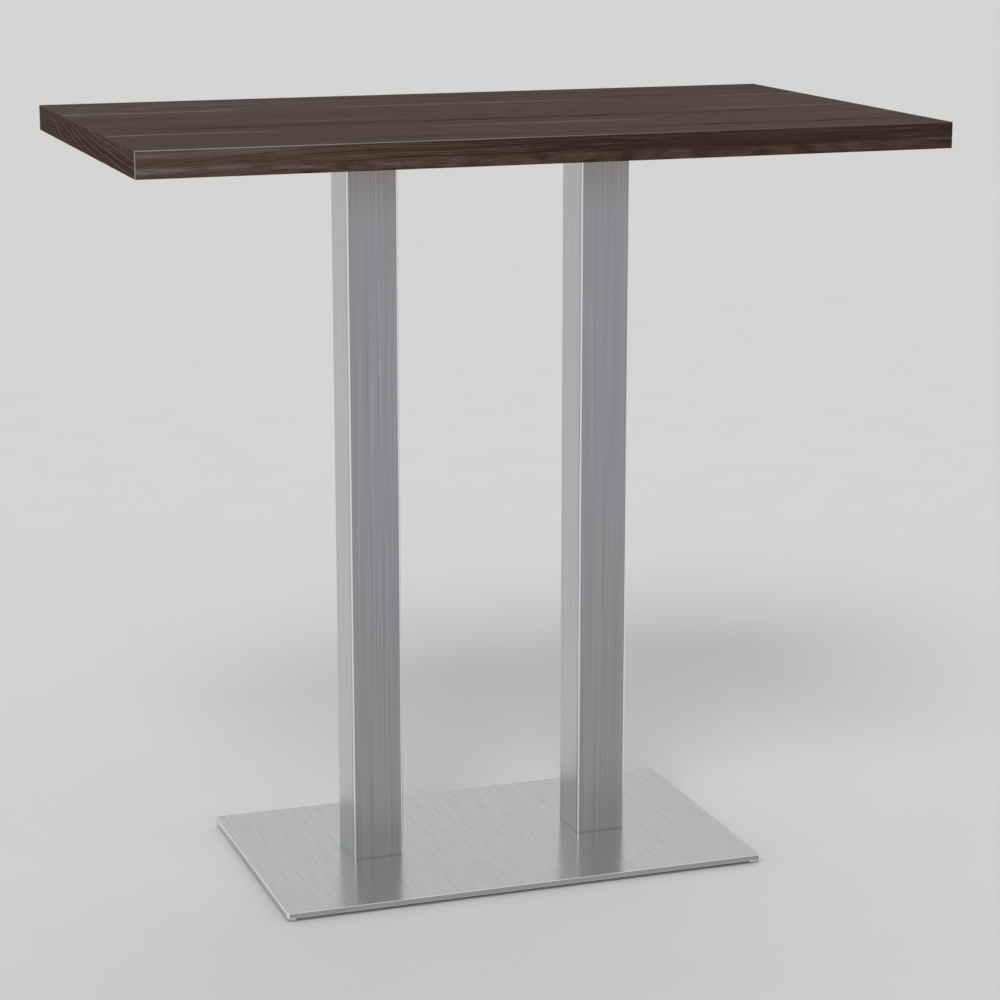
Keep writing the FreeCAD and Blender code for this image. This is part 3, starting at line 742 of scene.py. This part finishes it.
# What the steel mirrors of the floor: under the table and just in front of it, far in front of
# it, and behind it. The first passes into the others along Y
MIRRORED_NEAR = (0.668, 0.654, 0.664, 1)
MIRRORED_FAR = (0.748, 0.748, 0.775, 1)
MIRRORED_BACK = (1.02, 1.03, 1.04, 1)
NEAR_TO_FAR = (-0.2, -3.0)
NEAR_TO_BACK = (0.05, 0.35)


def floor_material():
    """A pale floor, even in the gloss of metal. It is clear from below, to show the underside."""
    shader = Shader("pale_floor")
    mottle = shader.noise((5, 5, 5), detail=4.0, rough=0.6)
    darker = shade(FLOOR_COLOUR, 0.985)
    colour = shader.mix(shader.span(mottle, *NOISE_RANGE), darker, FLOOR_COLOUR)
    matt = shader.add("ShaderNodeBsdfDiffuse", {"Color": colour}).outputs[0]
    depth = shader.axis("Y")
    mirrored = shader.mix(shader.mask(depth, *NEAR_TO_FAR), MIRRORED_NEAR, MIRRORED_FAR)
    mirrored = shader.mix(shader.mask(depth, *NEAR_TO_BACK), mirrored, MIRRORED_BACK)
    even = shader.add("ShaderNodeEmission", {"Color": mirrored}).outputs[0]
    gloss = shader.in_gloss(shader.add("ShaderNodeLightPath").outputs)
    above = shader.add("ShaderNodeMixShader", {0: gloss, 1: matt, 2: even}).outputs[0]
    below = shader.add("ShaderNodeNewGeometry").outputs["Backfacing"]
    clear = shader.add("ShaderNodeBsdfTransparent").outputs[0]
    surface = shader.add("ShaderNodeMixShader", {0: below, 1: above, 2: clear}).outputs[0]
    shader.add("ShaderNodeOutputMaterial", {"Surface": surface})
    return shader.owner


def add_object(name, data):
    added = bpy.data.objects.new(name, data)
    bpy.context.scene.collection.objects.link(added)
    return added


def add_floor():
    half = FLOOR_HALF
    corners = [(-half, -half, 0), (half, -half, 0), (half, half, 0), (-half, half, 0)]
    mesh = bpy.data.meshes.new("floor")
    mesh.from_pydata(corners, [], [(0, 1, 2, 3)])
    mesh.materials.append(floor_material())
    add_object("floor", mesh)


BACKGROUND = (0.674, 0.676, 0.664, 1)
WHITE = (1, 1, 1, 1)

# Strength of the light from the surround, level and overhead, and the Z of the directions from
# which it counts as overhead
FILL_LOW = 1.30
FILL_HIGH = 0.45
OVERHEAD = 0.7

# Each sun: its name, the place from which it shines at the middle, its strength, and how wide it
# is in degrees
SUNS = (
    ("key", (-1.2, -2.0, 2.6), 1.05, 25),
    ("back", (0.5, 1.0, 1.6), 0.36, 40),
)

# Each panel: its name, its place, the point that it faces, its width and height, its brightness
# and its colour
PANELS = (
    ("front_panel", (1.28, -3.68, 1.52), (0.0, -0.10, 0.0), (1.6, 0.74), 0.38, (1.0, 0.77, 0.72)),
    ("back_panel", (-1.7, 5.75, 2.25), (0.0, 0.0, 0.0), (2.4, 1.6), 0.45, (0.97, 0.98, 1.0)),
)


def add_surround():
    """A pale surround, whose light is strongest low down. It looks even, also in gloss."""
    shader = Shader("studio", "worlds")
    bpy.context.scene.world = shader.owner
    direction = shader.add("ShaderNodeTexCoord").outputs["Generated"]
    height = shader.add("ShaderNodeSeparateXYZ", {"Vector": direction}).outputs["Z"]
    level = shader.span(height, 0.0, OVERHEAD, FILL_LOW, FILL_HIGH)
    fill = shader.add("ShaderNodeBackground", {"Color": WHITE, "Strength": level}).outputs[0]
    even = {"Color": BACKGROUND, "Strength": 1.0}
    backdrop = shader.add("ShaderNodeBackground", even).outputs[0]
    rays = shader.add("ShaderNodeLightPath").outputs
    shown = shader.calc("MAXIMUM", rays["Is Camera Ray"], shader.in_gloss(rays))
    light = shader.add("ShaderNodeMixShader", {0: shown, 1: fill, 2: backdrop}).outputs[0]
    shader.add("ShaderNodeOutputWorld", {"Surface": light})


def turn_towards(lamp, point):
    """Point a lamp, which shines down its own Z, at a point."""
    direction = Vector(point) - lamp.location
    lamp.rotation_euler = direction.to_track_quat("-Z", "Y").to_euler()


def add_suns():
    for name, place, strength, angle in SUNS:
        sun = bpy.data.lights.new(name, "SUN")
        sun.energy = strength
        sun.angle = math.radians(angle)
        lamp = add_object(name, sun)
        lamp.location = place
        turn_towards(lamp, (0.0, 0.0, 0.0))


def add_panels():
    """Soft panels that only show in the gloss of metal, never on the floor."""
    for name, place, aim, (width, height), brightness, colour in PANELS:
        panel = bpy.data.lights.new(name, "AREA")
        panel.shape = "RECTANGLE"
        panel.size = width
        panel.size_y = height
        panel.energy = brightness * math.pi * width * height
        panel.color = colour
        lamp = add_object(name, panel)
        lamp.location = place
        lamp.visible_camera = False
        lamp.visible_diffuse = False
        turn_towards(lamp, aim)


SENSOR_WIDTH = 36.0
LENS = 100.80
FARTHEST = 200.0
CAMERA_PLACE = (-1.35442, -3.97311, 1.54447)

# How far the camera looks down from level, and to the right of straight ahead, in radians
CAMERA_DOWN = 0.2305
CAMERA_RIGHT = 0.335


def add_camera():
    camera = bpy.data.cameras.new("camera")
    camera.sensor_width = SENSOR_WIDTH
    camera.lens = LENS
    camera.clip_end = FARTHEST
    view = add_object("camera", camera)
    view.location = CAMERA_PLACE
    view.rotation_euler = (math.pi / 2 - CAMERA_DOWN, 0, -CAMERA_RIGHT)
    bpy.context.scene.camera = view


dress_top()
dress_columns_and_plate()
dress_fittings()
dress_feet()
add_floor()
add_surround()
add_suns()
add_panels()
add_camera()
bpy.context.scene.view_settings.view_transform = "Standard"
